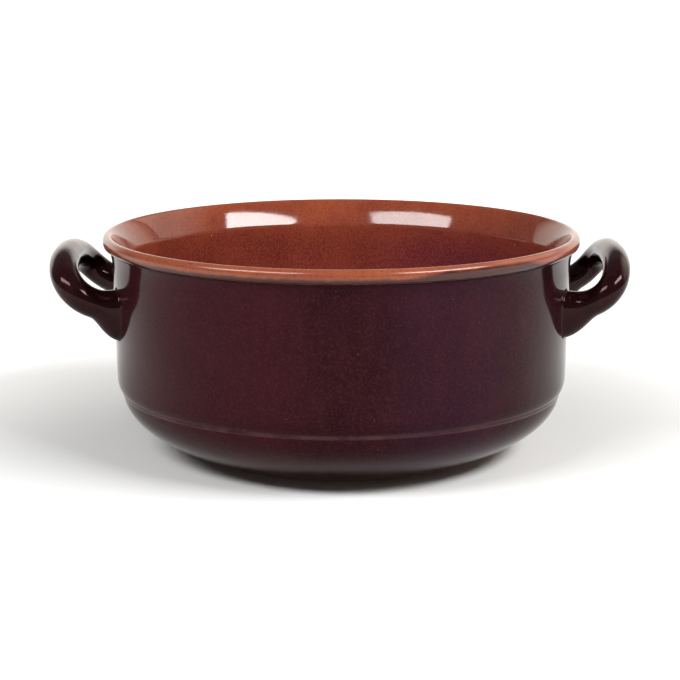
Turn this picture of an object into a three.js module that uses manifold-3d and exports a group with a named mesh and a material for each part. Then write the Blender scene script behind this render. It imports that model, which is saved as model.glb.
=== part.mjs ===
// A lidless terracotta casserole: a thrown clay pot with a rolled lip, two loop handles made of clay
// rolls luted to the wall at four feet, a clear glaze inside and over the lip, and a dark brown glaze
// outside. Millimetres, +Z up, origin at the middle of the base's underside, handles along X.
import * as THREE from "three";
import { mergeVertices } from "three/addons/utils/BufferGeometryUtils.js";
import Module from "manifold-3d";

const wasm = await Module();
wasm.setup();

// Clay pot: heights
const HEIGHT = 130.3; // underside to the top of the lip
const LIP_HEIGHT = 6.6; // rolled lip, top to underside
const FLARE_HEIGHT = 12; // hollow curve that swells the wall out under the lip
const GROOVE_HEIGHT = 39.8; // turned groove above the base band
const ROLL_HEIGHT = 7.5; // rounded lower edge of the wall, above the groove
const BAND_HEIGHT = 5.8; // upright part of the band below the groove
const BOWL_RISE_ANGLE = 18; // degrees, slope of the bowl where it leaves the base
const FLOOR_THICKNESS = 7.4;
const MOUTH_DEPTH = 15; // length of the flared part of the inside, from the lip's top

// Clay pot: radii and the wall
const LIP_OVERHANG = 5.3; // lip beyond the wall
const NECK_RADIUS = 134; // outside of the wall at the foot of the flare
const WALL_TAPER = 1.5; // loss of radius from the neck down to the belly
const GROOVE_DEPTH = 3.1; // belly to the band below the groove
const BASE_RADIUS = 78.2; // flat underside
const WALL_THICKNESS = 5.6;
const LIP_WIDTH = 4.7; // level top of the lip, before its edges are rounded
const LIP_EDGE_RADIUS = 2.6; // outer edges of the lip
const LIP_EDGE_LIMIT = 0.45; // largest share of the lip's height for one edge

// Glaze and luting slip
const GAP = 0.3; // clearance between two touching layers
const GLAZE = 0.4;
const SLIP = 1.5; // slip between a handle foot and the wall
const BARE_FOOT = 3; // height of bare clay above the underside
const GLAZE_BREAK = 1.4; // bare line between the brown glaze and the lip's clear one

// Loop handles
const ROLL_RADIUS = 7.5; // bare clay roll
const ROOT_SPACING = 74; // between the middles of the two feet of a handle
const ROOT_DROP = 36.7; // lip's top down to the middle of a foot
const ROOT_DEPTH = 3; // start of the curved leg, inside the wall
const FINGER_GAP = 19.2; // clear way between the wall and the bare roll
const LOOP_RISE = 22.6; // foot up to the crown of the loop
const LEG_SPLAY_ANGLE = 12; // degrees, each leg turned out from straight ahead
const LEG_RISE_ANGLE = -8; // degrees, a little downwards before it curls up
const LEG_PULL = 27.5; // how far the leg keeps its direction
const CROWN_PULL = 62; // how far the crown keeps its direction
const FOOT_LENGTH = 18; // along the leg
const FOOT_DROP = 13.5; // extra clay under the leg
const FOOT_SPREAD = 1.3; // extra clay beside the leg
const FOOT_RISE = 0.8; // extra clay over the leg

// Fineness of the faceted surfaces
const TURN_STEPS = 48;
const ROLL_SIDES = 10;
const ROLL_RINGS = 30;
const BOWL_STEPS = 7;
const MOUTH_STEPS = 5;
const ARC_STEPS = 3;
const WELD_DISTANCE = 1e-3; // corners closer than this are one corner

const BELLY_RADIUS = NECK_RADIUS - WALL_TAPER;
const BAND_RADIUS = BELLY_RADIUS - GROOVE_DEPTH;
const LIP_RADIUS = NECK_RADIUS + LIP_OVERHANG;
const LIP_UNDERSIDE = HEIGHT - LIP_HEIGHT;
const LIP_EDGE = Math.min(LIP_EDGE_RADIUS, LIP_EDGE_LIMIT * LIP_HEIGHT);
const NECK_HEIGHT = LIP_UNDERSIDE - FLARE_HEIGHT;
const BELLY_HEIGHT = GROOVE_HEIGHT + ROLL_HEIGHT;

const point = (radius, height) => new THREE.Vector2(radius, height);
const toRadians = THREE.MathUtils.degToRad;

// Quarter of an ellipse from one point to another, leaving the first one upright or level.
function quarter(from, to, leavesUpright) {
  const points = [];
  for (let i = 0; i <= ARC_STEPS; i++) {
    const angle = (i / ARC_STEPS) * (Math.PI / 2);
    const early = Math.sin(angle);
    const late = 1 - Math.cos(angle);
    const across = leavesUpright ? late : early;
    const along = leavesUpright ? early : late;
    points.push(point(from.x + (to.x - from.x) * across, from.y + (to.y - from.y) * along));
  }
  return points;
}

// Outside of the clay, from the base's edge up to the lip's underside.
function outsidePath() {
  const bowlRise = (BAND_RADIUS - BASE_RADIUS) * Math.tan(toRadians(BOWL_RISE_ANGLE));
  const bowl = new THREE.CubicBezierCurve(
    point(BASE_RADIUS, 0),
    point(BAND_RADIUS, bowlRise),
    point(BAND_RADIUS, GROOVE_HEIGHT - BAND_HEIGHT),
    point(BAND_RADIUS, GROOVE_HEIGHT),
  );
  const belly = point(BELLY_RADIUS, BELLY_HEIGHT);
  const underLip = point(LIP_RADIUS - LIP_EDGE, LIP_UNDERSIDE);
  const flare = new THREE.QuadraticBezierCurve(
    point(NECK_RADIUS, NECK_HEIGHT),
    point(NECK_RADIUS, (NECK_HEIGHT + LIP_UNDERSIDE) / 2),
    underLip,
  );
  return [
    ...bowl.getPoints(BOWL_STEPS),
    ...quarter(point(BAND_RADIUS, GROOVE_HEIGHT), belly, false).slice(1),
    ...flare.getPoints(ARC_STEPS),
  ];
}

// Lip and inside of the clay, from the lip's underside over the top and down to the floor's middle.
function insidePath(outside) {
  const lowerEdge = point(LIP_RADIUS, LIP_UNDERSIDE + LIP_EDGE);
  const upperEdge = point(LIP_RADIUS, HEIGHT - LIP_EDGE);
  const crest = point(LIP_RADIUS - LIP_EDGE, HEIGHT);
  const mouth = new THREE.QuadraticBezierCurve(
    crest,
    point(LIP_RADIUS - LIP_WIDTH, HEIGHT),
    point(NECK_RADIUS - WALL_THICKNESS, HEIGHT - MOUTH_DEPTH),
  );
  const bowl = offsetPath(outside.slice(0, BOWL_STEPS + 1), -WALL_THICKNESS).reverse();
  return [
    ...quarter(outside.at(-1), lowerEdge, false),
    ...quarter(upperEdge, crest, true),
    ...mouth.getPoints(MOUTH_STEPS).slice(1),
    point(BELLY_RADIUS - WALL_THICKNESS, BELLY_HEIGHT),
    ...bowl,
    point(0, FLOOR_THICKNESS),
  ];
}

// A path moved sideways by a distance, to the right of its direction. A point on the axis stays there.
function offsetPath(path, distance) {
  const directions = path.slice(1).map((next, i) => next.clone().sub(path[i]).normalize());
  return path.map((here, i) => {
    const arriving = directions[Math.max(i - 1, 0)];
    const leaving = directions[Math.min(i, directions.length - 1)];
    const mean = arriving.clone().add(leaving).normalize();
    const reach = distance / mean.dot(leaving);
    return point(here.x > 0 ? here.x + mean.y * reach : 0, here.y - mean.x * reach);
  });
}

// The stretch of a rising path between two heights.
function stretch(path, low, high) {
  const between = path.filter((p) => p.y > low && p.y < high);
  return [pointAtHeight(path, low), ...between, pointAtHeight(path, high)];
}

function pointAtHeight(path, height) {
  const above = path.findIndex((p) => p.y > height);
  const share = (height - path[above - 1].y) / (path[above].y - path[above - 1].y);
  return path[above - 1].clone().lerp(path[above], share);
}

// A closed profile turned round the pot's axis.
function turned(profile) {
  return new THREE.LatheGeometry(profile, TURN_STEPS).rotateX(Math.PI / 2);
}

// A layer of glaze on a path of the clay, between two offsets from it.
function coatProfile(path) {
  const near = offsetPath(path, GAP);
  const far = offsetPath(path, GAP + GLAZE);
  const profile = [...far, ...near.reverse()];
  const endsOnAxis = profile.some((p) => p.x === 0);
  return endsOnAxis ? rolledToAxis(profile) : [...profile, profile[0].clone()];
}

// The same closed profile, listed from its first point on the axis round to its other one.
function rolledToAxis(profile) {
  const first = profile.findIndex((p) => p.x === 0) + 1;
  return [...profile.slice(first), ...profile.slice(0, first)];
}

// Everything inside the pot's outside surface once that is swollen by a distance.
function swollenPot(outside, distance) {
  const side = outside.map((p) => point(p.x + distance, p.y));
  const top = point(LIP_RADIUS + distance, HEIGHT);
  return solidOf(turned([point(0, 0), ...side, top, point(0, HEIGHT)]));
}

function wallRadiusAt(height) {
  const share = (height - BELLY_HEIGHT) / (NECK_HEIGHT - BELLY_HEIGHT);
  return BELLY_RADIUS + WALL_TAPER * share;
}

// Middle line of the right handle: out of the wall at the front foot, round the crown, back at the rear.
function handlePath() {
  const rootHeight = HEIGHT - ROOT_DROP;
  const crownHeight = rootHeight + LOOP_RISE;
  const rootY = ROOT_SPACING / 2;
  const rootX = Math.sqrt(wallRadiusAt(rootHeight) ** 2 - rootY ** 2) - ROOT_DEPTH;
  const crownX = wallRadiusAt(crownHeight) + FINGER_GAP + ROLL_RADIUS;
  const splay = toRadians(LEG_SPLAY_ANGLE);
  const rise = toRadians(LEG_RISE_ANGLE);
  const level = Math.cos(rise);
  const heading = new THREE.Vector3(Math.cos(splay) * level, -Math.sin(splay) * level, Math.sin(rise));
  const root = new THREE.Vector3(rootX, -rootY, rootHeight);
  const crown = new THREE.Vector3(crownX, 0, crownHeight);
  const buried = root.clone().addScaledVector(heading, -WALL_THICKNESS);
  const legEnd = root.clone().addScaledVector(heading, LEG_PULL);
  const crownStart = crown.clone().add(new THREE.Vector3(0, -CROWN_PULL, 0));
  const across = (p) => new THREE.Vector3(p.x, -p.y, p.z);
  const path = new THREE.CurvePath();
  path.add(new THREE.LineCurve3(buried, root));
  path.add(new THREE.CubicBezierCurve3(root, legEnd, crownStart, crown));
  path.add(new THREE.CubicBezierCurve3(crown, across(crownStart), across(legEnd), across(root)));
  path.add(new THREE.LineCurve3(across(root), across(buried)));
  return path;
}

// Part of the right handle's clay roll, between two shares of its length and grown by a distance: a
// cylinder bent along the middle line, with more clay under, beside and over the leg at each foot.
function handleRoll(from, to, grow) {
  const path = handlePath();
  const length = path.getLength();
  const rings = Math.max(2, Math.round(ROLL_RINGS * (to - from)));
  const roll = new THREE.CylinderGeometry(1, 1, 1, ROLL_SIDES, rings);
  const place = roll.getAttribute("position");
  const corner = new THREE.Vector3();
  const upright = new THREE.Vector3(0, 0, 1);
  for (let i = 0; i < place.count; i++) {
    corner.fromBufferAttribute(place, i);
    const share = from + (to - from) * (corner.y + 0.5);
    const middle = path.getPointAt(share);
    const along = path.getTangentAt(share);
    const beside = along.clone().cross(upright).normalize();
    const over = beside.clone().cross(along);
    const fromRoot = Math.min(share, 1 - share) * length - WALL_THICKNESS;
    const foot = 1 - THREE.MathUtils.smoothstep(fromRoot, 0, FOOT_LENGTH);
    const width = ROLL_RADIUS + grow + FOOT_SPREAD * foot;
    const height = ROLL_RADIUS + grow + (corner.z > 0 ? FOOT_RISE : FOOT_DROP) * foot;
    middle.addScaledVector(beside, corner.x * width).addScaledVector(over, corner.z * height);
    place.setXYZ(i, middle.x, middle.y, middle.z);
  }
  return roll;
}

// A closed geometry as a solid that can be joined and cut.
function solidOf(geometry) {
  const bare = geometry.clone();
  bare.deleteAttribute("normal");
  bare.deleteAttribute("uv");
  const merged = mergeVertices(bare, WELD_DISTANCE);
  const corners = merged.index.array;
  const triVerts = [];
  for (let i = 0; i < corners.length; i += 3) {
    const triangle = corners.slice(i, i + 3);
    if (new Set(triangle).size === 3) triVerts.push(...triangle);
  }
  const vertProperties = merged.getAttribute("position").array;
  return new wasm.Manifold(
    new wasm.Mesh({ numProp: 3, vertProperties, triVerts: new Uint32Array(triVerts) }),
  );
}

function geometryOf(solid) {
  const mesh = solid.getMesh();
  const geometry = new THREE.BufferGeometry();
  geometry.setAttribute("position", new THREE.BufferAttribute(mesh.vertProperties, 3));
  geometry.setIndex(new THREE.BufferAttribute(mesh.triVerts, 1));
  geometry.computeVertexNormals();
  return geometry;
}

const terracotta = new THREE.MeshStandardMaterial({ color: "#a9603f", roughness: 0.85, metalness: 0 });
const slip = new THREE.MeshStandardMaterial({ color: "#9a5638", roughness: 0.9, metalness: 0 });
const clearGlaze = new THREE.MeshStandardMaterial({ color: "#974c32", roughness: 0.15, metalness: 0 });
const brownGlaze = new THREE.MeshStandardMaterial({ color: "#2e171a", roughness: 0.12, metalness: 0 });

function addPiece(parent, name, geometry, material) {
  const piece = new THREE.Mesh(geometry, material);
  piece.name = name;
  parent.add(piece);
}

const outside = outsidePath();
const inside = insidePath(outside);
const casserole = new THREE.Group();

// Clay pot, and the clear glaze on its inside and lip
addPiece(casserole, "pot_body", turned([point(0, 0), ...outside, ...inside.slice(1)]), terracotta);
addPiece(casserole, "inner_clear_glaze", turned(coatProfile(inside)), clearGlaze);

// Brown glaze on the outside, from the bare foot up to the lip, left open where the handles are luted on
const glazedPath = stretch(outside, BARE_FOOT, LIP_UNDERSIDE - GLAZE_BREAK);
const rollHole = handleRoll(0, 1, GAP);
const wallGlaze = solidOf(turned(coatProfile(glazedPath)))
  .subtract(solidOf(rollHole))
  .subtract(solidOf(rollHole.clone().rotateZ(Math.PI)));
addPiece(casserole, "wall_brown_glaze", geometryOf(wallGlaze), brownGlaze);

// Handles: the clay roll, the slip under its two feet and the glaze round it
const slipInside = swollenPot(outside, GAP);
const slipOutside = swollenPot(outside, GAP + SLIP);
const slipShell = slipOutside.subtract(slipInside);
const handle = solidOf(handleRoll(0, 1, 0)).subtract(swollenPot(outside, GAP + SLIP + GAP));
const handleGlaze = solidOf(handleRoll(0, 1, GAP + GLAZE))
  .subtract(solidOf(rollHole))
  .subtract(swollenPot(outside, GAP + GLAZE + GAP));
const frontSlip = solidOf(handleRoll(0, 0.5, 0)).intersect(slipShell);
const rearSlip = solidOf(handleRoll(0.5, 1, 0)).intersect(slipShell);

// The right handle as drawn, and the left one turned half way round the pot's axis.
const sides = [
  { side: "right", turn: 0, first: "front", second: "rear" },
  { side: "left", turn: Math.PI, first: "rear", second: "front" },
];
for (const { side, turn, first, second } of sides) {
  const group = new THREE.Group();
  group.rotation.z = turn;
  addPiece(group, `${side}_handle`, geometryOf(handle), terracotta);
  addPiece(group, `${side}_${first}_luting_slip`, geometryOf(frontSlip), slip);
  addPiece(group, `${side}_${second}_luting_slip`, geometryOf(rearSlip), slip);
  addPiece(group, `${side}_handle_brown_glaze`, geometryOf(handleGlaze), brownGlaze);
  casserole.add(group);
}

export default casserole;
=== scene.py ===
"""Looks of a lidless terracotta casserole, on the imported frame: a thrown clay pot with a clear glaze
inside and a dark brown one outside, and two loop handles of rolled clay. The pot's sizes are in
millimetres, the studio's in metres."""
import math

import bpy
from mathutils import Euler, Matrix, Vector


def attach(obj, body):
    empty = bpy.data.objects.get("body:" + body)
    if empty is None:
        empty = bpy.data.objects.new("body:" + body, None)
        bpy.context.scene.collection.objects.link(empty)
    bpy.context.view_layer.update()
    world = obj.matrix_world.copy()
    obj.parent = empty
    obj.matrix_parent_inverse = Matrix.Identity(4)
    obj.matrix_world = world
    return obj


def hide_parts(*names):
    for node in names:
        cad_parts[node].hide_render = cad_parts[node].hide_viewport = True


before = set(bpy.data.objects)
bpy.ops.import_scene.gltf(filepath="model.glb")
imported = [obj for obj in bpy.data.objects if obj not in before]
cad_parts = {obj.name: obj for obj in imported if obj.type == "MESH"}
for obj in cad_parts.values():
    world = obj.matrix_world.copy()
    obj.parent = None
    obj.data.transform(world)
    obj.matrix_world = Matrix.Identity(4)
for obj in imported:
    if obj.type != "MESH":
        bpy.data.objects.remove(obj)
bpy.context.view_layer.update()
MM = 0.001

# Clay pot, outside: the sizes of the frame's own pieces
HEIGHT = 130.3
LIP_HEIGHT = 6.6
LIP_RADIUS = 139.3
LIP_WIDTH = 4.7
LIP_EDGE = 2.6
LIP_UNDERSIDE = HEIGHT - LIP_HEIGHT
FLARE_HEIGHT = 12.0
NECK_HEIGHT = LIP_UNDERSIDE - FLARE_HEIGHT
NECK_RADIUS = 134.0
GROOVE_HEIGHT = 39.8
ROLL_HEIGHT = 7.5
BELLY_HEIGHT = GROOVE_HEIGHT + ROLL_HEIGHT
BELLY_RADIUS = 132.5
WALL_SLOPE = (NECK_RADIUS - BELLY_RADIUS) / (NECK_HEIGHT - BELLY_HEIGHT)
BAND_HEIGHT = 5.8
BAND_RADIUS = 129.4
BOWL_RISE_ANGLE = 18.0
BASE_RADIUS = 78.2
BASE_INSET = 1.7
FOOT_ROUNDING = 1.2
FOOT_EDGE_RADIUS = 0.9
FOOT_EDGE_ARC = (-90, -20)

# Clay pot, inside
WALL_THICKNESS = 5.6
FLOOR_THICKNESS = 7.4
MOUTH_DEPTH = 15.0
INNER_BEND_TOP = BELLY_HEIGHT + 6.0
INNER_BEND_MIDDLE = GROOVE_HEIGHT + 1.0
INNER_BEND_FOOT = GROOVE_HEIGHT - 8.0
INNER_BEND_HOLLOW = 0.3
FLOOR_FILLET = 8.0
FLOOR_FILLET_PULL = 2.5
FLOOR_FILLET_RISE = 1.0

# Glaze: where its two faces lie outside the clay, where it stops, and the thread of it in the groove
GLAZE_NEAR = 0.3
GLAZE_FAR = 0.7
GLAZE_BREAK = 0.8
BARE_FOOT = 3.0
DRAWN_FOOT = 0.4
END_ROUNDNESS = 0.1
THREAD_RADIUS = 0.8
THREAD_SINK = 0.25
THREAD_GAP = 0.3
THREAD_ARC = (-55, 20)

# How many points of the roll above the groove lie hidden, in the bare crease and behind the thread
CREASE_HIDES = 2
THREAD_HIDES = 4

# Loop handles, as the glaze on them shows, with angles in degrees. They were rolled and bent by hand, so the
# two differ a little.
ROOT_DEPTH = 3.0
BURIED = 6.0
FOOT_SPREAD = 1.3
FOOT_RISE = 0.8
END_DEPTH = 2.5
CLAY_CREASE = 0.2
GLAZE_CREASE = 1.3
HANDLES = {
    "right": {
        "turn": 0, "seed": 1.0, "radius": 7.9,
        "root_y": 37.2, "root_height": 93.7, "splay": 8.5, "rise": -10.0, "leg_pull": 29.1,
        "crown_x": 159.9, "crown_height": 116.8, "crown_pull": 63.2,
        "foot_drop": 11.2, "foot_length": 20.5,
    },
    "left": {
        "turn": 180, "seed": 7.0, "radius": 8.5,
        "root_y": 36.6, "root_height": 93.4, "splay": 15.7, "rise": -8.0, "leg_pull": 26.4,
        "crown_x": 161.7, "crown_height": 115.8, "crown_pull": 61.7,
        "foot_drop": 12.2, "foot_length": 17.5,
    },
}

# How far hand-made clay strays from its true shape, and how far apart its waves are
UNEVENNESS = 0.5
WALL_WAVE = 70.0
WALL_SEED = 3.0
ROLL_WAVE = 24.0

# Fineness of the meshes
TURN_STEPS = 192
ROLL_SIDES = 56
FOOT_STEP = 0.5
LOOP_STEP = 1.4
FINE_FOOT_LENGTH = 20.0
SEAM_GAP = 0.002

# Kinds of node and settings that the trees below use over and over. A Map Range node's inputs are a value,
# the range that it comes from and the range that it goes to. A Mix node's colours are its inputs 6 and 7.
MATH = "ShaderNodeMath"
VECTOR = "ShaderNodeVectorMath"
RANGE = "ShaderNodeMapRange"
NOISE = "ShaderNodeTexNoise"
MIX = "ShaderNodeMix"
BUMP = "ShaderNodeBump"
SPLIT = "ShaderNodeSeparateXYZ"
PRINCIPLED = "ShaderNodeBsdfPrincipled"
SAMPLE = "GeometryNodeSampleIndex"
EASED = {"interpolation_type": "SMOOTHSTEP"}
COLOUR = {"data_type": "RGBA", "output": 2}
LEVEL = (1, 1, 0)


def bezier(controls, steps):
    """Points of a Bezier curve with any number of controls."""
    points = []
    for i in range(steps + 1):
        share = i / steps
        row = [tuple(c) for c in controls]
        while len(row) > 1:
            row = [tuple(a + (b - a) * share for a, b in zip(p, q)) for p, q in zip(row, row[1:])]
        points.append(row[0])
    return points


def arc(centre, radius, start, end, steps):
    """Points of a circle from one angle to another, in degrees from level outwards."""
    angles = [math.radians(start + (end - start) * i / steps) for i in range(steps + 1)]
    return [(centre[0] + radius * math.cos(a), centre[1] + radius * math.sin(a)) for a in angles]


def quarter(start, end, leaves_upright, steps):
    """Points of a quarter ellipse that leaves its start upright or level."""
    points = []
    for i in range(steps + 1):
        angle = math.pi / 2 * i / steps
        early, late = math.sin(angle), 1 - math.cos(angle)
        across, along = (late, early) if leaves_upright else (early, late)
        points.append((start[0] + (end[0] - start[0]) * across, start[1] + (end[1] - start[1]) * along))
    return points


def offset(path, distance):
    """A path moved to the right of its direction. A point on the axis stays there."""
    moved = []
    for i, (x, z) in enumerate(path):
        before, after = path[max(i - 1, 0)], path[min(i + 1, len(path) - 1)]
        run, rise = after[0] - before[0], after[1] - before[1]
        length = math.hypot(run, rise)
        moved.append((x + distance * rise / length if x > 0 else 0.0, z - distance * run / length))
    return moved


def stretch(path, low, high):
    """The points of a path between two heights."""
    return [p for p in path if low <= p[1] <= high]


def bowl_path(steps):
    """Outside of the clay from the base's edge up to the groove."""
    rise = (BAND_RADIUS - BASE_RADIUS) * math.tan(math.radians(BOWL_RISE_ANGLE))
    return bezier([
        (BASE_RADIUS, 0),
        (BAND_RADIUS, rise),
        (BAND_RADIUS, GROOVE_HEIGHT - BAND_HEIGHT),
        (BAND_RADIUS, GROOVE_HEIGHT),
    ], steps)


def outside_path(grow, thread_radius=0.0):
    """Outside of the clay grown by a distance, from the base's edge up to the lip's underside. Where a
    thread of glaze lies in the groove, the path goes round it."""
    band_radius = BAND_RADIUS + grow
    crease = GROOVE_HEIGHT - grow
    bowl_top = crease - 2 * thread_radius - THREAD_GAP
    bowl = [p for p in offset(bowl_path(steps=44), grow) if p[1] < bowl_top]
    roll_top = (BELLY_RADIUS + grow, BELLY_HEIGHT)
    roll = quarter((band_radius, crease), roll_top, leaves_upright=False, steps=16)
    wall = bezier([roll[-1], (NECK_RADIUS + grow, NECK_HEIGHT)], steps=44)
    half_flare = (NECK_RADIUS + grow, (NECK_HEIGHT + LIP_UNDERSIDE) / 2)
    under_lip = (LIP_RADIUS - LIP_EDGE, LIP_UNDERSIDE - grow)
    flare = bezier([wall[-1], half_flare, under_lip], steps=16)
    thread = []
    hidden = CREASE_HIDES
    if thread_radius:
        middle = (band_radius - THREAD_SINK * thread_radius, crease - thread_radius)
        thread = arc(middle, thread_radius, *THREAD_ARC, steps=9)
        hidden = THREAD_HIDES
    return bowl + thread + roll[hidden:] + wall[1:] + flare[1:]


def inside_path():
    """Lip and inside of the clay, from the lip's underside over the top to the middle of the floor."""
    under_lip = (LIP_RADIUS - LIP_EDGE, LIP_UNDERSIDE)
    lower_edge = (LIP_RADIUS, LIP_UNDERSIDE + LIP_EDGE)
    upper_edge = (LIP_RADIUS, HEIGHT - LIP_EDGE)
    crest = (LIP_RADIUS - LIP_EDGE, HEIGHT)
    neck = (NECK_RADIUS - WALL_THICKNESS, HEIGHT - MOUTH_DEPTH)
    belly = (BELLY_RADIUS - WALL_THICKNESS, INNER_BEND_TOP)
    bowl = offset(bowl_path(steps=36), -WALL_THICKNESS)[::-1]
    bowl = [p for p in bowl if FLOOR_THICKNESS + FLOOR_FILLET_RISE < p[1] < INNER_BEND_FOOT]
    foot = bowl[-1][0]
    rim = (foot - FLOOR_FILLET, FLOOR_THICKNESS)
    return (
        quarter(under_lip, lower_edge, leaves_upright=False, steps=9)
        + quarter(upper_edge, crest, leaves_upright=True, steps=9)
        + bezier([crest, (LIP_RADIUS - LIP_WIDTH, HEIGHT), neck], steps=26)[1:]
        + bezier([neck, belly], steps=40)[1:]
        + bezier([belly, (belly[0] - INNER_BEND_HOLLOW, INNER_BEND_MIDDLE), bowl[0]], steps=8)[1:]
        + bowl[1:]
        + bezier([bowl[-1], (foot - FLOOR_FILLET_PULL, FLOOR_THICKNESS), rim], steps=6)[1:]
        + bezier([rim, (0, FLOOR_THICKNESS)], steps=10)[1:]
    )


def rounded_end(near, far, beyond):
    """The tip of a layer between two last points, a little past them."""
    middle = ((near[0] + far[0]) / 2, (near[1] + far[1]) / 2)
    return tuple(m + (m - b) * END_ROUNDNESS for m, b in zip(middle, beyond))


def coat(near, far):
    """Closed profile of a layer between two paths, with its two ends drawn round."""
    low = rounded_end(near[0], far[0], far[1])
    high = rounded_end(near[-1], far[-1], far[-2])
    return [low] + far + [high] + near[::-1] + [low]


def handle_points(size):
    """Middle line of a handle on the right, with close points at its two feet."""
    splay, rise = math.radians(size["splay"]), math.radians(size["rise"])
    heading = (math.cos(splay) * math.cos(rise), -math.sin(splay) * math.cos(rise), math.sin(rise))
    wall = BELLY_RADIUS + WALL_SLOPE * (size["root_height"] - BELLY_HEIGHT)
    root_x = math.sqrt(wall ** 2 - size["root_y"] ** 2) - ROOT_DEPTH
    root = (root_x, -size["root_y"], size["root_height"])
    start = tuple(r - BURIED * h for r, h in zip(root, heading))
    leg = tuple(r + size["leg_pull"] * h for r, h in zip(root, heading))
    crown = (size["crown_x"], 0, size["crown_height"])
    before_crown = (size["crown_x"], -size["crown_pull"], size["crown_height"])
    half = bezier([start, root], steps=40)[:-1] + bezier([root, leg, before_crown, crown], steps=1500)
    picked, travelled = [half[0]], 0.0
    for before, here in zip(half, half[1:]):
        travelled += math.dist(before, here)
        step = FOOT_STEP if travelled < BURIED + FINE_FOOT_LENGTH else LOOP_STEP
        if math.dist(picked[-1], here) >= step:
            picked.append(here)
    picked[-1] = half[-1]
    return picked + [(x, -y, z) for x, y, z in picked[-2::-1]]


def linear(code, strength=1.0):
    """An sRGB hex colour as linear red, green and blue, times a strength, and alpha."""
    parts = [int(code[i : i + 2], 16) / 255 for i in (1, 3, 5)]
    flat = [p / 12.92 if p <= 0.04045 else ((p + 0.055) / 1.055) ** 2.4 for p in parts]
    return (*(strength * p for p in flat), 1.0)


def add(tree, kind, inputs=(), output=0, **settings):
    """One node of a tree, with its settings and links. Inputs go by their place in a list or by name, and
    each is a value or another node's output. Gives one of its outputs, or the node where it has none."""
    node = tree.nodes.new(kind)
    for name, value in settings.items():
        setattr(node, name, value)
    pairs = inputs.items() if isinstance(inputs, dict) else enumerate(inputs)
    for key, value in pairs:
        if isinstance(value, bpy.types.NodeSocket):
            tree.links.new(value, node.inputs[key])
        else:
            node.inputs[key].default_value = value
    return node.outputs[output] if node.outputs else node


def distance_out(tree, place):
    """How far a place is from the pot's axis."""
    level = add(tree, VECTOR, [place, LEVEL], operation="MULTIPLY")
    return add(tree, VECTOR, [level], "Value", operation="LENGTH")


def start_tree(name, sockets):
    """An empty Geometry Nodes tree with named inputs and one output, and what its inputs give."""
    tree = bpy.data.node_groups.new(name, "GeometryNodeTree")
    for label, kind in sockets.items():
        tree.interface.new_socket(label, in_out="INPUT", socket_type="NodeSocket" + kind)
    tree.interface.new_socket("Piece", in_out="OUTPUT", socket_type="NodeSocketGeometry")
    return tree, add(tree, "NodeGroupInput").node.outputs


def swept_grid(tree, path, steps, way):
    """A grid with a row for each point of a path and a column for each step round it, clockwise (-1) or
    not (1). Gives the grid, and each point's row, rows to the last one, and turn in radians."""
    count = add(tree, "GeometryNodeAttributeDomainSize", [path], "Point Count", component="CURVE")
    columns = add(tree, MATH, [steps, 1.0], operation="ADD")
    grid = add(tree, "GeometryNodeMeshGrid", {"Vertices X": count, "Vertices Y": columns})
    index = add(tree, "GeometryNodeInputIndex")
    past = add(tree, MATH, [index, 0.5], operation="ADD")
    rows = add(tree, MATH, [past, columns], operation="DIVIDE")
    row = add(tree, MATH, [rows], operation="FLOOR")
    first = add(tree, MATH, [row, columns], operation="MULTIPLY")
    column = add(tree, MATH, [index, first], operation="SUBTRACT")
    share = add(tree, MATH, [column, steps], operation="DIVIDE")
    turn = add(tree, MATH, [share, way * 2 * math.pi], operation="MULTIPLY")
    last = add(tree, MATH, [count, 1.0], operation="SUBTRACT")
    left = add(tree, MATH, [last, row], operation="SUBTRACT")
    return grid, row, left, turn


def strayed(tree, place, given):
    """How far a hand-made surface strays from its true shape, to either side."""
    spacing = add(tree, MATH, [1.0, given["Uneven Spacing"]], operation="DIVIDE")
    waves = {"Vector": place, "W": given["Seed"], "Scale": spacing, "Detail": 1.0}
    height = add(tree, NOISE, waves, noise_dimensions="4D")
    centred = add(tree, MATH, [height, 0.5], operation="SUBTRACT")
    return add(tree, MATH, [centred, given["Unevenness"]], operation="MULTIPLY")


def finish_tree(tree, grid, place, material):
    """Puts the grid's points in place, closes its seam and poles, and gives it its material."""
    shaped = add(tree, "GeometryNodeSetPosition", {"Geometry": grid, "Position": place})
    closed = add(tree, "GeometryNodeMergeByDistance", {"Geometry": shaped, "Distance": MM * SEAM_GAP})
    smooth = add(tree, "GeometryNodeSetShadeSmooth", {"Geometry": closed, "Shade Smooth": True})
    real = add(tree, "GeometryNodeRealizeInstances", {"Geometry": smooth})
    finished = add(tree, "GeometryNodeSetMaterial", {"Geometry": real, "Material": material})
    add(tree, "NodeGroupOutput", [finished])


def turned_tree():
    """A profile turned round the pot's axis, with the slow unevenness of a thrown wall."""
    tree, given = start_tree("turned_on_the_wheel", {
        "Profile": "Geometry", "Turn Steps": "Int", "Unevenness": "Float", "Uneven Spacing": "Float",
        "Seed": "Float", "Finish": "Material"})
    grid, row, _, turn = swept_grid(tree, given["Profile"], given["Turn Steps"], way=-1)
    position = add(tree, "GeometryNodeInputPosition")
    profile = {"Geometry": given["Profile"], "Value": position, "Index": row}
    here = add(tree, SAMPLE, profile, data_type="FLOAT_VECTOR")
    around = add(tree, "ShaderNodeVectorRotate", {"Vector": here, "Angle": turn}, rotation_type="Z_AXIS")
    level = add(tree, VECTOR, [around, LEVEL], operation="MULTIPLY")
    outwards = add(tree, VECTOR, [level], operation="NORMALIZE")
    push = strayed(tree, around, given)
    moved = add(tree, VECTOR, [outwards, push, around], operation="MULTIPLY_ADD")
    finish_tree(tree, grid, moved, given["Finish"])
    return tree


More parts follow.
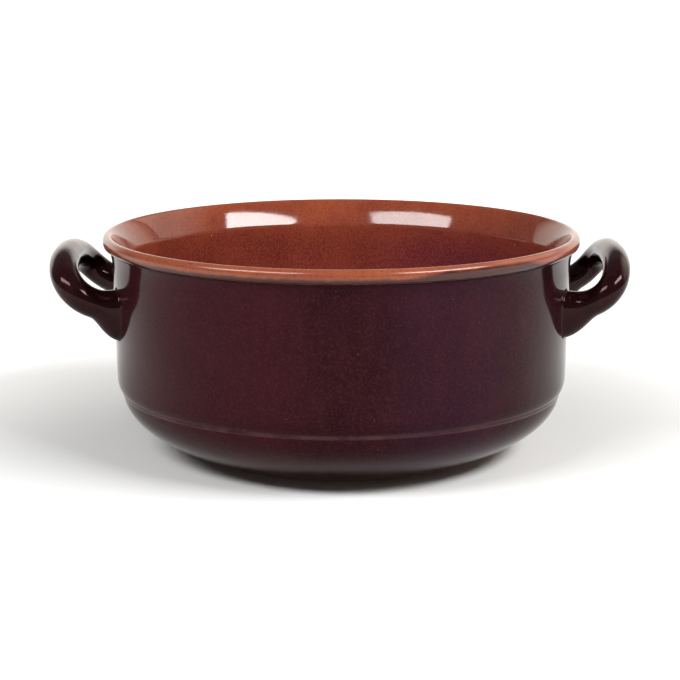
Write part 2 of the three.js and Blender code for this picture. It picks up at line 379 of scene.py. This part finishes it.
def pressed_foot(tree, given, travelled):
    """1 at the roots of a loop, eased to 0 at the end of each foot."""
    total = add(tree, "GeometryNodeCurveLength", [given["Path"]])
    to_go = add(tree, MATH, [total, travelled], operation="SUBTRACT")
    from_end = add(tree, MATH, [travelled, to_go], operation="MINIMUM")
    from_root = add(tree, MATH, [from_end, given["Buried"]], operation="SUBTRACT")
    return add(tree, RANGE, [from_root, given["Foot Start"], given["Foot Length"], 1.0, 0.0], **EASED)


def clay_roll(tree, given, row, turn):
    """The middle of a bent roll at each row, and the way from there to its surface, which is longer where
    a foot is pressed out: most of all downwards."""
    path = {"Geometry": given["Path"], "Index": row}
    position = add(tree, "GeometryNodeInputPosition")
    tangent = add(tree, "GeometryNodeInputTangent")
    length = add(tree, "GeometryNodeSplineParameter", output="Length")
    middle = add(tree, SAMPLE, {**path, "Value": position}, data_type="FLOAT_VECTOR")
    along = add(tree, SAMPLE, {**path, "Value": tangent}, data_type="FLOAT_VECTOR")
    travelled = add(tree, SAMPLE, {**path, "Value": length}, data_type="FLOAT")
    foot = pressed_foot(tree, given, travelled)
    radius = add(tree, MATH, [given["Roll Radius"], strayed(tree, middle, given)], operation="ADD")
    across = add(tree, MATH, [turn], operation="COSINE")
    upwards = add(tree, MATH, [turn], operation="SINE")
    is_over = add(tree, MATH, [upwards, 0.0], operation="GREATER_THAN")
    press = add(tree, RANGE, [is_over, 0.0, 1.0, given["Foot Drop"], given["Foot Rise"]])
    half_width = add(tree, MATH, [foot, given["Foot Spread"], radius], operation="MULTIPLY_ADD")
    half_height = add(tree, MATH, [foot, press, radius], operation="MULTIPLY_ADD")
    wide = add(tree, MATH, [across, half_width], operation="MULTIPLY")
    high = add(tree, MATH, [upwards, half_height], operation="MULTIPLY")
    sideways = add(tree, VECTOR, [along, (0, 0, 1)], operation="CROSS_PRODUCT")
    beside = add(tree, VECTOR, [sideways], operation="NORMALIZE")
    over = add(tree, VECTOR, [beside, along], operation="CROSS_PRODUCT")
    widened = add(tree, VECTOR, [beside, wide], operation="MULTIPLY")
    spoke = add(tree, VECTOR, [over, high, widened], operation="MULTIPLY_ADD")
    return middle, spoke


def by_the_wall(tree, given, point):
    """The wall's radius at a point's height, and how far the point is from the pot's axis."""
    height = add(tree, SPLIT, [point], "Z")
    wall = add(tree, MATH, [height, given["Wall Slope"], given["Wall Radius"]], operation="MULTIPLY_ADD")
    return wall, distance_out(tree, point)


def glazed_crease(tree, given, corner, spoke, not_tip):
    """A point of the roll moved out where it nears the wall, by the hollow curve of glaze in the crease."""
    wall, from_axis = by_the_wall(tree, given, corner)
    crease = given["Crease Radius"]
    apart = add(tree, MATH, [from_axis, wall], operation="SUBTRACT")
    clear = add(tree, MATH, [apart, 0.0], operation="MAXIMUM")
    within = add(tree, MATH, [crease, clear], operation="SUBTRACT")
    hollow = add(tree, MATH, [within, 0.0], operation="MAXIMUM")
    long_side = add(tree, MATH, [crease, crease], operation="MULTIPLY")
    short_side = add(tree, MATH, [hollow, hollow], operation="MULTIPLY")
    square = add(tree, MATH, [long_side, short_side], operation="SUBTRACT")
    other_side = add(tree, MATH, [square], operation="SQRT")
    filled = add(tree, MATH, [crease, other_side], operation="SUBTRACT")
    skirt = add(tree, MATH, [filled, not_tip], operation="MULTIPLY")
    outwards = add(tree, VECTOR, [spoke], operation="NORMALIZE")
    return add(tree, VECTOR, [outwards, skirt, corner], operation="MULTIPLY_ADD")


def flattened_end(tree, given, point):
    """A point moved straight out of the wall's depth, as far as the end of a handle reaches into it."""
    wall, from_axis = by_the_wall(tree, given, point)
    least = add(tree, MATH, [wall, given["End Depth"]], operation="SUBTRACT")
    share = add(tree, MATH, [least, from_axis], operation="DIVIDE")
    ratio = add(tree, MATH, [share, 1.0], operation="MAXIMUM")
    widening = add(tree, "ShaderNodeCombineXYZ", [ratio, ratio, 1.0])
    return add(tree, VECTOR, [point, widening], operation="MULTIPLY")


def rolled_tree():
    """A clay roll bent along a path, with feet pressed out where it meets the wall, a hollow curve of
    glaze in the crease, and its two ends flattened inside the wall."""
    tree, given = start_tree("rolled_clay_loop", {
        "Path": "Geometry", "Roll Sides": "Int", "Roll Radius": "Float", "Buried": "Float",
        "Foot Start": "Float", "Foot Length": "Float", "Foot Drop": "Float", "Foot Spread": "Float",
        "Foot Rise": "Float", "Crease Radius": "Float", "Wall Radius": "Float", "Wall Slope": "Float",
        "End Depth": "Float", "Unevenness": "Float", "Uneven Spacing": "Float", "Seed": "Float",
        "Turn": "Float", "Finish": "Material"})
    grid, row, left, turn = swept_grid(tree, given["Path"], given["Roll Sides"], way=1)
    middle, spoke = clay_roll(tree, given, row, turn)
    from_tip = add(tree, MATH, [row, left], operation="MINIMUM")
    not_tip = add(tree, MATH, [from_tip, 1.0], operation="MINIMUM")
    corner = add(tree, VECTOR, [spoke, not_tip, middle], operation="MULTIPLY_ADD")
    glazed = glazed_crease(tree, given, corner, spoke, not_tip)
    held = flattened_end(tree, given, glazed)
    around = {"Vector": held, "Angle": given["Turn"]}
    place = add(tree, "ShaderNodeVectorRotate", around, rotation_type="Z_AXIS")
    finish_tree(tree, grid, place, given["Finish"])
    return tree


def made(name, points, tree, values, nodes):
    """The mesh that a tree makes on a curve through points, as a plain piece that stands for CAD nodes."""
    curve = bpy.data.curves.new(name + "_path", "CURVE")
    curve.dimensions = "3D"
    spline = curve.splines.new("POLY")
    spline.points.add(len(points) - 1)
    for corner, place in zip(spline.points, points):
        corner.co = (*(MM * c for c in place), 1.0)
    guide = bpy.data.objects.new(name + "_path", curve)
    bpy.context.scene.collection.objects.link(guide)
    change = guide.modifiers.new(tree.name, "NODES")
    change.node_group = tree
    for item in tree.interface.items_tree:
        if item.in_out == "INPUT" and item.name in values:
            change[item.identifier] = values[item.name]
    bpy.context.view_layer.update()
    graph = bpy.context.evaluated_depsgraph_get()
    mesh = bpy.data.meshes.new_from_object(guide.evaluated_get(graph))
    mesh.name = name
    bpy.data.objects.remove(guide)
    piece = bpy.data.objects.new(name, mesh)
    bpy.context.scene.collection.objects.link(piece)
    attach(piece, "root")
    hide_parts(*nodes)


# Finishes. Levels of noise between which clouds, runs, grain, breaks and gloss come and go
CLOUDED = (0.3, 0.72)
STREAKED = (0.45, 0.8)
LIGHT_GRAIN = (0.42, 0.72)
DARK_GRAIN = (0.5, 0.28)
BROKEN = (0.3, 0.7)
GLOSS_LEVELS = (0.3, 0.75)
SAND_LEVELS = (0.45, 0.8)
DRY_LEVELS = (0.3, 0.8)

# How patterns are drawn out: glaze that ran downwards, and ridges that go round the pot
RUN_STRETCH = (1, 1, 0.18)
RIDGE_STRETCH = (0.06, 0.06, 1)

# Where a glaze changes, in millimetres. Two limits are where a change starts and where it is full. Four are
# where it starts, is full, fades and ends. A wander is the most that an edge strays.
THIN_FOOT = (13.5, 5.5)
THIN_FOOT_WANDER = 5.0
# Painted highlight: the band about the groove where a pale, broken line stands in for glints on the glaze
# there
GROOVE_PAINTED_HIGHLIGHT = [GROOVE_HEIGHT + h for h in (-3.2, -2.2, -0.9, 0.4)]
# Painted shade and light: the inside glaze goes from a darker colour deep down to a lighter one towards the
# rim between these heights
RIM_PAINTED_LIGHT = (96.0, 128.0)
LIP_SHADE = (NECK_RADIUS + 0.5, NECK_RADIUS + 3.5)
CREEP = (LIP_UNDERSIDE + 4.5, LIP_UNDERSIDE + 2.1)
CREEP_WANDER = 2.4
CREEP_RUN_REACH = 3.0
CREEP_RUN_BEARINGS = (0.25, 0.45, 0.75, 0.95)  # radians to the right of the front

# Painted light: tints by side, redder on the left and more purple on the right, that stand in for how the
# light fell on the pot. A tint has limits in X.
WALL_PAINTED_LIGHT_TINTS = {"#371619": (-200, -180, -28, 8), "#2b1726": (24, 58, 82, 112)}
INSIDE_PAINTED_LIGHT_TINTS = {"#582136": (16, 76, 180, 200)}
TINT_SHARE = 0.42
TINT_WANDER = 20.0

# Relief that is too fine for the meshes, in millimetres
PEEL_HEIGHT = 0.012
GRIT = {"spacing": 9.5, "size": 0.35}
GRIT_HEIGHT = 0.04
SAND_HEIGHT = 0.1
SCRATCH_HEIGHT = 0.12


def start_material(name):
    """An empty material, its tree, and the piece's own coordinates."""
    material = bpy.data.materials.new(name)
    material.use_nodes = True
    tree = material.node_tree
    tree.nodes.clear()
    return material, tree, add(tree, "ShaderNodeTexCoord", output="Object")


def per(size):
    """The scale of a pattern from a real size in millimetres."""
    return 1 / (MM * size)


def metres(sizes):
    """Sizes in millimetres as metres."""
    return [MM * size for size in sizes]


def patches(tree, place, size, detail, rough, levels, shares=(0.0, 1.0)):
    """Soft patches of a size in millimetres, eased from one share to the other as noise goes up."""
    field = add(tree, NOISE, {"Vector": place, "Scale": per(size), "Detail": detail, "Roughness": rough})
    return add(tree, RANGE, [field, *levels, *shares], **EASED)


def specks(tree, place, spacing, size, share):
    """A share inside scattered round specks and 0 elsewhere. Spacing and size are in millimetres."""
    cells = {"Vector": place, "Scale": per(spacing), "Randomness": 1.0}
    from_middle = add(tree, "ShaderNodeTexVoronoi", cells, "Distance")
    edge = size / spacing
    return add(tree, RANGE, [from_middle, edge, edge / 2, 0.0, share], **EASED)


def band(tree, value, start, full, fading, end):
    """1 where a value lies between two limits and 0 elsewhere, eased at both."""
    rising = add(tree, RANGE, [value, start, full, 0.0, 1.0], **EASED)
    falling = add(tree, RANGE, [value, fading, end, 1.0, 0.0], **EASED)
    return add(tree, MATH, [rising, falling], operation="MULTIPLY")


def layered(tree, body, layers):
    """A colour with other colours mixed in one after another, each with its share."""
    for share, colour in layers:
        body = add(tree, MIX, {0: share, 6: body, 7: colour}, **COLOUR)
    return body


def rippled(tree, place, spacing, height):
    """The faint level ridges that fingers leave on a turning wall, as a normal. Sizes in millimetres."""
    drawn_out = add(tree, VECTOR, [place, RIDGE_STRETCH], operation="MULTIPLY")
    ridges = add(tree, NOISE, {"Vector": drawn_out, "Scale": per(spacing), "Roughness": 0.6})
    return add(tree, BUMP, {"Height": ridges, "Distance": MM * height})


def painted_light_tint(tree, place, colour, limits):
    """Painted light: a colour tinted onto one side of a glaze, standing in for how the light fell there,
    with its share there.
    """
    east = add(tree, SPLIT, [place], "X")
    wander = add(tree, NOISE, {"Vector": place, "Scale": per(60)})
    ragged = add(tree, MATH, [wander, MM * TINT_WANDER, east], operation="MULTIPLY_ADD")
    zone = band(tree, ragged, *metres(limits))
    share = add(tree, MATH, [zone, TINT_SHARE], operation="MULTIPLY")
    return share, linear(colour)


def brown_glaze(name, dark, light, fleck, tints, ior, gloss_tint):
    """Near-black manganese brown, deep and wet: mottled, tinted by side with painted light, with a painted
    highlight along the groove, and browner where it runs thin over an edge. The mottling is drawn coarser
    than it is, so that it shows."""
    material, tree, place = start_material(name)
    height = add(tree, SPLIT, [place], "Z")
    downwards = add(tree, VECTOR, [place, RUN_STRETCH], operation="MULTIPLY")
    runs = add(tree, NOISE, {"Vector": downwards, "Scale": per(7), "Detail": 3, "Roughness": 0.6})
    streaks = add(tree, RANGE, [runs, *STREAKED, 0.0, 0.35], **EASED)
    ragged = add(tree, MATH, [runs, MM * THIN_FOOT_WANDER, height], operation="MULTIPLY_ADD")
    thin_foot = add(tree, RANGE, [ragged, *metres(THIN_FOOT), 0.0, 0.8], **EASED)
    # Painted highlight: a pale, broken line along the groove stands in for the glints on the glaze thread
    # there
    in_groove = band(tree, height, *metres(GROOVE_PAINTED_HIGHLIGHT))
    breaks = patches(tree, place, size=18, detail=2, rough=0.5, levels=BROKEN, shares=(0.1, 0.45))
    thread = add(tree, MATH, [in_groove, breaks], operation="MULTIPLY")
    clouds = patches(tree, place, size=38, detail=4, rough=0.6, levels=CLOUDED)
    grain = patches(tree, place, size=1.4, detail=3, rough=0.65, levels=LIGHT_GRAIN, shares=(0.0, 0.4))
    body = layered(tree, linear(dark), [
        (clouds, linear(light)),
        # Painted light: tints by side that stand in for how the light fell on the glaze
        *(painted_light_tint(tree, place, *tint) for tint in tints.items()),
        (streaks, linear("#2e1617")),
        (grain, linear(fleck)),
        # Painted highlight along the groove
        (thread, linear("#5a3e42")),
        (thin_foot, linear("#54302a")),
        (specks(tree, place, spacing=5.5, size=0.5, share=0.6), linear("#0d0607")),
        (specks(tree, place, **GRIT, share=0.5), linear("#8a5a48")),
    ])
    ripple = rippled(tree, place, spacing=5, height=0.02)
    peel = add(tree, NOISE, {"Vector": place, "Scale": per(3.2)})
    peeled = add(tree, BUMP, {"Height": peel, "Distance": MM * PEEL_HEIGHT, "Normal": ripple})
    grit = specks(tree, place, **GRIT, share=1.0)
    shader = add(tree, PRINCIPLED, {
        "Base Color": body,
        "Roughness": patches(
            tree, place, size=22, detail=3, rough=0.5, levels=GLOSS_LEVELS, shares=(0.07, 0.13)),
        "IOR": ior,
        "Specular Tint": linear(gloss_tint),
        "Normal": add(tree, BUMP, {"Height": grit, "Distance": MM * GRIT_HEIGHT, "Normal": peeled}),
    })
    add(tree, "ShaderNodeOutputMaterial", [shader])
    return material


def crept_glaze(tree, place, height, radius):
    """Share of the brown glaze that crept up under the lip, ragged, with one run on the front right."""
    east, north = (add(tree, SPLIT, [place], axis) for axis in "XY")
    south = add(tree, MATH, [north, -1.0], operation="MULTIPLY")
    bearing = add(tree, MATH, [east, south], operation="ARCTAN2")
    run = band(tree, bearing, *CREEP_RUN_BEARINGS)
    wander = add(tree, NOISE, {"Vector": place, "Scale": per(9), "Detail": 3})
    ragged = add(tree, MATH, [wander, MM * CREEP_WANDER, height], operation="MULTIPLY_ADD")
    lowered = add(tree, MATH, [run, -MM * CREEP_RUN_REACH, ragged], operation="MULTIPLY_ADD")
    crept = add(tree, RANGE, [lowered, *metres(CREEP), 0.0, 0.95], **EASED)
    outside = add(tree, MATH, [radius, MM * LIP_SHADE[0]], operation="GREATER_THAN")
    return add(tree, MATH, [crept, outside], operation="MULTIPLY")


def clear_glaze(name, tints):
    """Clear glaze on red clay: warm orange brown, glassy, with fine dark grit and a few pale pinholes,
    lighter and duller on the lip. Painted shade darkens it deep down, and painted light makes it lighter
    towards the rim and more purple on the right. The grain is drawn coarser than it is, so that it shows."""
    material, tree, place = start_material(name)
    height = add(tree, SPLIT, [place], "Z")
    radius = distance_out(tree, place)
    clouds = patches(tree, place, size=30, detail=4, rough=0.6, levels=CLOUDED)
    # Painted shade and light: a darker colour deep down and a lighter one towards the rim
    deep = layered(tree, linear("#5d241d"), [(clouds, linear("#6d2d23"))])
    high = layered(tree, linear("#6d2f1f"), [(clouds, linear("#7f3b24"))])
    lip = layered(tree, linear("#783a26"), [(clouds, linear("#87462b"))])
    painted_light_near_rim = add(tree, RANGE, [height, *metres(RIM_PAINTED_LIGHT), 0.0, 1.0], **EASED)
    on_lip = add(tree, RANGE, [radius, *metres(LIP_SHADE), 0.0, 1.0], **EASED)
    grain = {"size": 1.2, "detail": 3, "rough": 0.65}
    light_grain = patches(tree, place, **grain, levels=LIGHT_GRAIN, shares=(0.0, 0.35))
    dark_grain = patches(tree, place, **grain, levels=DARK_GRAIN, shares=(0.0, 0.5))
    body = layered(tree, deep, [
        # Painted light: a purple tint on the right that stands in for how the light fell
        *(painted_light_tint(tree, place, *tint) for tint in tints.items()),
        # Painted light towards the rim
        (painted_light_near_rim, high),
        (on_lip, lip),
        (light_grain, linear("#8a4430")),
        (dark_grain, linear("#45170f")),
        (specks(tree, place, spacing=4.5, size=0.4, share=0.55), linear("#371510")),
        (specks(tree, place, spacing=13, size=0.4, share=0.6), linear("#e0c0a4")),
        (crept_glaze(tree, place, height, radius), linear("#34110f")),
    ])
    gloss = patches(tree, place, size=20, detail=3, rough=0.5, levels=GLOSS_LEVELS, shares=(0.06, 0.12))
    ripple = rippled(tree, place, spacing=4.5, height=0.03)
    peel = add(tree, NOISE, {"Vector": place, "Scale": per(3.0)})
    shader = add(tree, PRINCIPLED, {
        "Base Color": body,
        "Roughness": add(tree, MATH, [on_lip, 0.1, gloss], operation="MULTIPLY_ADD"),
        "IOR": 1.42,
        "Normal": add(tree, BUMP, {"Height": peel, "Distance": MM * PEEL_HEIGHT, "Normal": ripple}),
    })
    add(tree, "ShaderNodeOutputMaterial", [shader])
    return material


def fired_clay(name, light, dark):
    """Bare red earthenware: dry and matt, with sand grains, pores and the scratches of turning."""
    material, tree, place = start_material(name)
    clouds = patches(tree, place, size=26, detail=5, rough=0.6, levels=CLOUDED)
    sand = add(tree, NOISE, {"Vector": place, "Scale": per(0.7), "Detail": 3, "Roughness": 0.7})
    body = layered(tree, linear(dark), [
        (clouds, linear(light)),
        (add(tree, RANGE, [sand, *SAND_LEVELS, 0.0, 0.4], **EASED), linear("#d09a72")),
        (specks(tree, place, spacing=3.1, size=0.45, share=0.6), linear("#5b2f20")),
    ])
    height = add(tree, SPLIT, [place], "Z")
    ringed = add(tree, "ShaderNodeCombineXYZ", [distance_out(tree, place), 0.0, height])
    scratches = add(tree, NOISE, {"Vector": ringed, "Scale": per(1.3), "Detail": 3, "Roughness": 0.6})
    turning = add(tree, BUMP, {"Height": scratches, "Distance": MM * SCRATCH_HEIGHT})
    shader = add(tree, PRINCIPLED, {
        "Base Color": body,
        "Roughness": add(tree, RANGE, [sand, *DRY_LEVELS, 0.75, 0.95], **EASED),
        "Normal": add(tree, BUMP, {"Height": sand, "Distance": MM * SAND_HEIGHT, "Normal": turning}),
    })
    add(tree, "ShaderNodeOutputMaterial", [shader])
    return material


terracotta = fired_clay("bare_fired_terracotta", light="#b9714c", dark="#9a5637")
slip = fired_clay("fired_luting_slip", light="#a86244", dark="#8a4c33")
inside_glaze = clear_glaze("clear_glaze_on_red_clay", tints=INSIDE_PAINTED_LIGHT_TINTS)

# The dark glaze mirrors less than clean glass does, so its IOR is matched down from that of glass
wall_glaze = brown_glaze(
    "dark_brown_glaze", dark="#130608", light="#210c11", fleck="#402025", tints=WALL_PAINTED_LIGHT_TINTS,
    ior=1.2, gloss_tint="#ff9cac")
handle_glaze = brown_glaze(
    "dark_brown_glaze_on_the_handles", dark="#120406", light="#1b070a", fleck="#2a1014", tints={},
    ior=1.28, gloss_tint="#ffcccc")

turned = turned_tree()
rolled = rolled_tree()


def thrown(name, profile, finish, node):
    """A piece of the pot itself, turned from a profile of radius and height."""
    made(name, [(x, 0.0, z) for x, z in profile], turned, {
        "Turn Steps": TURN_STEPS,
        "Unevenness": MM * UNEVENNESS,
        "Uneven Spacing": MM * WALL_WAVE,
        "Seed": WALL_SEED,
        "Finish": finish,
    }, [node])


# Clay pot
clay_inside = inside_path()
base = bezier([(0, 0), (BASE_RADIUS - BASE_INSET, 0)], steps=8)
foot_middle = (BASE_RADIUS - FOOT_ROUNDING, FOOT_EDGE_RADIUS)
foot_edge = arc(foot_middle, FOOT_EDGE_RADIUS, *FOOT_EDGE_ARC, steps=5)
clay_outside = stretch(outside_path(0.0), FOOT_EDGE_RADIUS, HEIGHT)
thrown("pot_clay", base + foot_edge + clay_outside + clay_inside[1:], terracotta, "pot_body")

# Brown glaze on the wall
glaze_top = LIP_UNDERSIDE - GLAZE_BREAK
wall_near = stretch(outside_path(GLAZE_NEAR), BARE_FOOT, glaze_top)
wall_far = stretch(outside_path(GLAZE_FAR, THREAD_RADIUS), BARE_FOOT - DRAWN_FOOT, glaze_top)
thrown("brown_glaze_coat", coat(wall_near, wall_far), wall_glaze, "wall_brown_glaze")

# Clear glaze inside and over the lip
glaze_near = offset(clay_inside, GLAZE_NEAR)
glaze_far = offset(clay_inside, GLAZE_FAR)
thrown("clear_glaze_coat", glaze_near[::-1] + glaze_far, inside_glaze, "inner_clear_glaze")

# Loop handles, clay and glaze
for side, size in HANDLES.items():
    loop = {
        "Roll Sides": ROLL_SIDES,
        "Buried": MM * BURIED,
        "Foot Start": MM * ROOT_DEPTH,
        "Foot Length": MM * size["foot_length"],
        "Foot Drop": MM * size["foot_drop"],
        "Foot Spread": MM * FOOT_SPREAD,
        "Foot Rise": MM * FOOT_RISE,
        "Wall Radius": MM * (BELLY_RADIUS + GLAZE_FAR - WALL_SLOPE * BELLY_HEIGHT),
        "Wall Slope": WALL_SLOPE,
        "End Depth": MM * END_DEPTH,
        "Unevenness": MM * UNEVENNESS,
        "Uneven Spacing": MM * ROLL_WAVE,
        "Seed": size["seed"],
        "Turn": math.radians(size["turn"]),
    }
    clay_radius = size["radius"] - GLAZE_FAR
    clay = {"Roll Radius": MM * clay_radius, "Crease Radius": MM * CLAY_CREASE, "Finish": terracotta}
    glaze = {"Roll Radius": MM * size["radius"], "Crease Radius": MM * GLAZE_CREASE, "Finish": handle_glaze}
    points = handle_points(size)
    made(side + "_handle_clay", points, rolled, {**loop, **clay}, [side + "_handle"])
    glazed_node = side + "_handle_brown_glaze"
    made(side + "_handle_glaze_coat", points, rolled, {**loop, **glaze}, [glazed_node])

# Luting slip between the handles and the wall, which keeps the frame's own shape
for name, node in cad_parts.items():
    if name.endswith("_luting_slip"):
        node.data.materials.clear()
        node.data.materials.append(slip)

# Studio, in metres: a paper sweep that bends up behind the pot
FLOOR_FRONT = -6.0
FLOOR_BACK = 1.7
SWEEP_RADIUS = 0.6
SWEEP_TOP = 1.4
SWEEP_LEFT = -2.6
SWEEP_RIGHT = 10.0
SWEEP_STEPS = 16
LAMP_AIM_HEIGHT = 0.1
LAMP_DISTANCE = 1.5
SOFTBOX_HEIGHT = 0.34

# Where the paper changes, in metres: where each change is nil and where it is full
GREY_FRONT = (-0.4, -1.1)
NEAR_GLOW = (0.14, 0.36)
FAR_GLOW = (0.4, 1.3)
BACKDROP_GLOW = (0.05, 0.4)
GLOW_BELOW = (1.5, 0.8)
GLOW_LEFT_OF = (8.5, 1.2)
GLOW_IN_GLOSS = (-0.9, -0.38)
WARM_BACKDROP = (0.02, 0.3)

# The cosines, of the angle to its middle, between which the glow in the room comes up
ROOM_GLOW = (0.8, 0.98)


def studio_paper(name):
    """Matt white paper, faintly toothed. Away from the pot and up the backdrop it glows for the camera and
    for reflections, so that it looks white. In front it is greyer, and reflections see no glow there."""
    material, tree, place = start_material(name)
    east, north, height = (add(tree, SPLIT, [place], axis) for axis in "XYZ")
    around = distance_out(tree, place)
    tooth = add(tree, NOISE, {"Vector": place, "Scale": per(1.5), "Detail": 3})
    white = layered(tree, linear("#d8d8d7"), [(tooth, linear("#e0e0df"))])
    grey = layered(tree, linear("#a2a2a2"), [(tooth, linear("#a8a8a8"))])
    in_front = add(tree, RANGE, [north, *GREY_FRONT, 0.0, 1.0], **EASED)
    gains = [(around, NEAR_GLOW, 0.36), (around, FAR_GLOW, 0.55), (height, BACKDROP_GLOW, 0.35)]
    glow = 0.0
    for value, limits, gain in gains:
        more = add(tree, RANGE, [value, *limits, 0.0, gain], **EASED)
        glow = add(tree, MATH, [more, glow], operation="ADD")
    for value, limits in [(height, GLOW_BELOW), (east, GLOW_LEFT_OF)]:
        share = add(tree, RANGE, [value, *limits, 0.0, 1.0], **EASED)
        glow = add(tree, MATH, [share, glow], operation="MULTIPLY")
    ray = add(tree, "ShaderNodeLightPath").node.outputs
    mirrored = add(tree, MATH, [ray["Is Glossy Ray"], ray["Is Transmission Ray"]], operation="MAXIMUM")
    by_the_pot = add(tree, RANGE, [north, *GLOW_IN_GLOSS, 0.0, 1.0], **EASED)
    in_gloss = add(tree, MATH, [mirrored, by_the_pot], operation="MULTIPLY")
    seen = add(tree, MATH, [ray["Is Camera Ray"], in_gloss], operation="MAXIMUM")
    upright = add(tree, RANGE, [height, *WARM_BACKDROP, 0.0, 1.0], **EASED)
    shader = add(tree, PRINCIPLED, {
        "Base Color": layered(tree, white, [(in_front, grey)]),
        "Roughness": 0.9,
        "Specular IOR Level": 0.0,
        "Emission Color": layered(tree, linear("#ffffff"), [(upright, linear("#fff7ec"))]),
        "Emission Strength": add(tree, MATH, [seen, glow], operation="MULTIPLY"),
    })
    add(tree, "ShaderNodeOutputMaterial", [shader])
    return material


def paper_sweep(name, material):
    """A wide sheet of paper that lies on the floor and bends up into a backdrop."""
    profile = [(FLOOR_FRONT, 0.0), (FLOOR_BACK, 0.0)]
    for i in range(1, SWEEP_STEPS + 1):
        angle = math.pi / 2 * i / SWEEP_STEPS
        rise = SWEEP_RADIUS - SWEEP_RADIUS * math.cos(angle)
        profile.append((FLOOR_BACK + SWEEP_RADIUS * math.sin(angle), rise))
    profile.append((FLOOR_BACK + SWEEP_RADIUS, SWEEP_TOP))
    corners = [(x, y, z) for y, z in profile for x in (SWEEP_LEFT, SWEEP_RIGHT)]
    faces = [(2 * i, 2 * i + 1, 2 * i + 3, 2 * i + 2) for i in range(len(profile) - 1)]
    mesh = bpy.data.meshes.new(name)
    mesh.from_pydata(corners, [], faces)
    mesh.polygons.foreach_set("use_smooth", [True] * len(faces))
    mesh.materials.append(material)
    sheet = bpy.data.objects.new(name, mesh)
    bpy.context.scene.collection.objects.link(sheet)


def towards(azimuth, elevation):
    """A direction from the pot. Azimuth 0 is the camera's side and 90 the right, in degrees."""
    a, e = math.radians(azimuth), math.radians(elevation)
    return Vector((math.sin(a) * math.cos(e), -math.cos(a) * math.cos(e), math.sin(e)))


def softbox(name, azimuth, elevation, roll, width, power):
    """A soft rectangular lamp that faces the pot."""
    lamp = bpy.data.lights.new(name, "AREA")
    lamp.shape = "RECTANGLE"
    lamp.size = width
    lamp.size_y = SOFTBOX_HEIGHT
    lamp.energy = power
    lamp_object = bpy.data.objects.new(name, lamp)
    lamp_object.location = LAMP_DISTANCE * towards(azimuth, elevation) + Vector((0, 0, LAMP_AIM_HEIGHT))
    upright = Euler((math.radians(90 - elevation), 0, math.radians(azimuth))).to_matrix()
    lamp_object.rotation_euler = (upright @ Matrix.Rotation(math.radians(roll), 3, "Z")).to_euler()
    bpy.context.scene.collection.objects.link(lamp_object)


def studio_room(name, azimuth, elevation, grey, glow):
    """A grey room with a soft warm glow to one side, as from a curtained window."""
    world = bpy.data.worlds.new(name)
    world.use_nodes = True
    tree = world.node_tree
    heading = add(tree, "ShaderNodeTexCoord", output="Generated")
    facing = add(tree, VECTOR, [heading, towards(azimuth, elevation)], "Value", operation="DOT_PRODUCT")
    near = add(tree, RANGE, [facing, *ROOM_GLOW, 0.0, 1.0], **EASED)
    colour = layered(tree, (grey, grey, grey, 1.0), [(near, linear("#fff0e0", glow))])
    tree.links.new(colour, tree.nodes["Background"].inputs["Color"])
    bpy.context.scene.world = world


paper_sweep("paper_sweep", studio_paper("white_paper"))
softbox("softbox_right", azimuth=53, elevation=37, roll=0, width=1.0, power=28)
softbox("softbox_left", azimuth=-46.3, elevation=38, roll=12, width=1.11, power=21)
studio_room("studio_room", azimuth=120, elevation=24, grey=0.2, glow=2.0)

# Camera at the photograph's place, with its focal length in pixels of a square picture, and the nearest and
# farthest that it sees in metres
PICTURE_WIDTH = 680
FOCAL_LENGTH = 1979.7
SENSOR_WIDTH = 36
CAMERA_TILT = 11.816
CAMERA_PLACE = (-0.00076, -1.1571, 0.30695)
NEAREST = 0.05
FARTHEST = 30

camera = bpy.data.cameras.new("camera")
camera.sensor_width = SENSOR_WIDTH
camera.lens = SENSOR_WIDTH * FOCAL_LENGTH / PICTURE_WIDTH
camera.clip_start = NEAREST
camera.clip_end = FARTHEST
camera_object = bpy.data.objects.new("camera", camera)
camera_object.location = CAMERA_PLACE
camera_object.rotation_euler = (math.radians(90 - CAMERA_TILT), 0, 0)
bpy.context.scene.collection.objects.link(camera_object)
bpy.context.scene.camera = camera_object
bpy.context.scene.view_settings.view_transform = "Standard"
